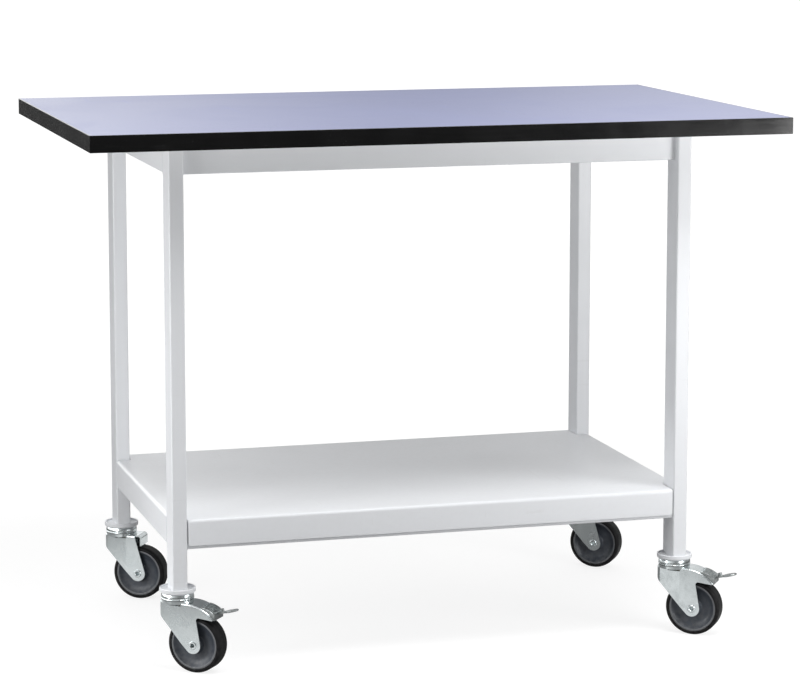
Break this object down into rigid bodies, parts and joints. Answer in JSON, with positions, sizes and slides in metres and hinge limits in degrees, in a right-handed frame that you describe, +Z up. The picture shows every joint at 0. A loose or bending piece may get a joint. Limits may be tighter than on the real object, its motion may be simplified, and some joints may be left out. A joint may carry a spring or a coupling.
{
  "type": "mobile laboratory bench",
  "caption": "Mobile lab bench: pale laminate worktop with black edging on a white tube frame, a low reagent shelf tray between the legs and swivel castors, the front ones with foot brakes.",
  "frame": {"origin": "on the floor under the middle of the worktop", "axes": "+X along the front edge to the right as the user faces the bench, +Y from the user to the back, +Z up"},
  "size_m": [1.2, 0.75, 0.91],
  "materials": {
    "laminate_top": "matt pale lavender grey high pressure laminate",
    "board_core": "raw chipboard",
    "laminate_backing": "plain white balancing laminate",
    "edge_black": "black ABS edge band, satin",
    "powder_white": "white fine-texture powder coat",
    "steel_fastener": "zinc plated fasteners",
    "zinc_plate": "bright blue-passivated zinc on stamped steel",
    "zinc_pedal": "zinc plated, darker and worn",
    "hub_grey": "dark grey moulded nylon",
    "tyre_black": "black rubber tread",
    "brake_rubber": "black rubber"
  },
  "bodies": {
    "bench": {"worktop_core": "board_core", "worktop_laminate": "laminate_top", "worktop_backing": "laminate_backing", "edge_band_front": "edge_black", "edge_band_back": "edge_black", "edge_band_left": "edge_black", "edge_band_right": "edge_black", "worktop_brackets": "powder_white", "worktop_screws": "steel_fastener", "shelf_tray": "powder_white", "castor_bolts": "steel_fastener", "ball_races": "steel_fastener", "leg_fl": "powder_white", "leg_fr": "powder_white", "leg_bl": "powder_white", "leg_br": "powder_white", "top_rail_front": "powder_white", "top_rail_back": "powder_white", "top_rail_left": "powder_white", "top_rail_right": "powder_white", "lower_rail_front": "powder_white", "lower_rail_back": "powder_white", "lower_rail_left": "powder_white", "lower_rail_right": "powder_white", "foot_plate_fl": "powder_white", "foot_plate_fr": "powder_white", "foot_plate_bl": "powder_white", "foot_plate_br": "powder_white", "castor_head_fl": "zinc_plate", "castor_head_fr": "zinc_plate", "castor_head_bl": "zinc_plate", "castor_head_br": "zinc_plate"},
    "fork_fl": {"fork_fl": "zinc_plate", "axle_fl": "zinc_plate", "brake_pin_fl": "steel_fastener"},
    "wheel_fl": {"wheel_hub_fl": "hub_grey", "wheel_tyre_fl": "tyre_black", "wheel_bush_fl": "hub_grey"},
    "fork_fr": {"fork_fr": "zinc_plate", "axle_fr": "zinc_plate", "brake_pin_fr": "steel_fastener"},
    "wheel_fr": {"wheel_hub_fr": "hub_grey", "wheel_tyre_fr": "tyre_black", "wheel_bush_fr": "hub_grey"},
    "fork_bl": {"fork_bl": "zinc_plate", "axle_bl": "zinc_plate"},
    "wheel_bl": {"wheel_hub_bl": "hub_grey", "wheel_tyre_bl": "tyre_black", "wheel_bush_bl": "hub_grey"},
    "fork_br": {"fork_br": "zinc_plate", "axle_br": "zinc_plate"},
    "wheel_br": {"wheel_hub_br": "hub_grey", "wheel_tyre_br": "tyre_black", "wheel_bush_br": "hub_grey"},
    "pedal_fl": {"brake_pedal_fl": "zinc_pedal", "brake_shoe_fl": "brake_rubber"},
    "pedal_fr": {"brake_pedal_fr": "zinc_pedal", "brake_shoe_fr": "brake_rubber"}
  },
  "joints": [
    {"name": "swivel_fl", "type": "hinge", "parent": "bench", "child": "fork_fl", "pos_m": [-0.4425, -0.255, 0.122], "axis": [0, 0, 1], "continuous": true},
    {"name": "roll_fl", "type": "hinge", "parent": "fork_fl", "child": "wheel_fl", "pos_m": [-0.41334, -0.27778, 0.048], "axis": [0.6157, 0.788, 0], "continuous": true},
    {"name": "swivel_fr", "type": "hinge", "parent": "bench", "child": "fork_fr", "pos_m": [0.4425, -0.255, 0.122], "axis": [0, 0, 1], "continuous": true},
    {"name": "roll_fr", "type": "hinge", "parent": "fork_fr", "child": "wheel_fr", "pos_m": [0.47243, -0.27675, 0.048], "axis": [0.5878, 0.809, 0], "continuous": true},
    {"name": "swivel_bl", "type": "hinge", "parent": "bench", "child": "fork_bl", "pos_m": [-0.4425, 0.255, 0.122], "axis": [0, 0, 1], "continuous": true},
    {"name": "roll_bl", "type": "hinge", "parent": "fork_bl", "child": "wheel_bl", "pos_m": [-0.41046, 0.2365, 0.048], "axis": [0.5, 0.866, 0], "continuous": true},
    {"name": "swivel_br", "type": "hinge", "parent": "bench", "child": "fork_br", "pos_m": [0.4425, 0.255, 0.122], "axis": [0, 0, 1], "continuous": true},
    {"name": "roll_br", "type": "hinge", "parent": "fork_br", "child": "wheel_br", "pos_m": [0.47281, 0.23378, 0.048], "axis": [0.5736, 0.8192, 0], "continuous": true},
    {"name": "brake_fl", "type": "hinge", "parent": "fork_fl", "child": "pedal_fl", "pos_m": [-0.40625, -0.28332, 0.104], "axis": [0.6157, 0.788, 0], "range_deg": [0, 15]},
    {"name": "brake_fr", "type": "hinge", "parent": "fork_fr", "child": "pedal_fr", "pos_m": [0.47972, -0.28204, 0.104], "axis": [0.5878, 0.809, 0], "range_deg": [0, 15]}
  ]
}
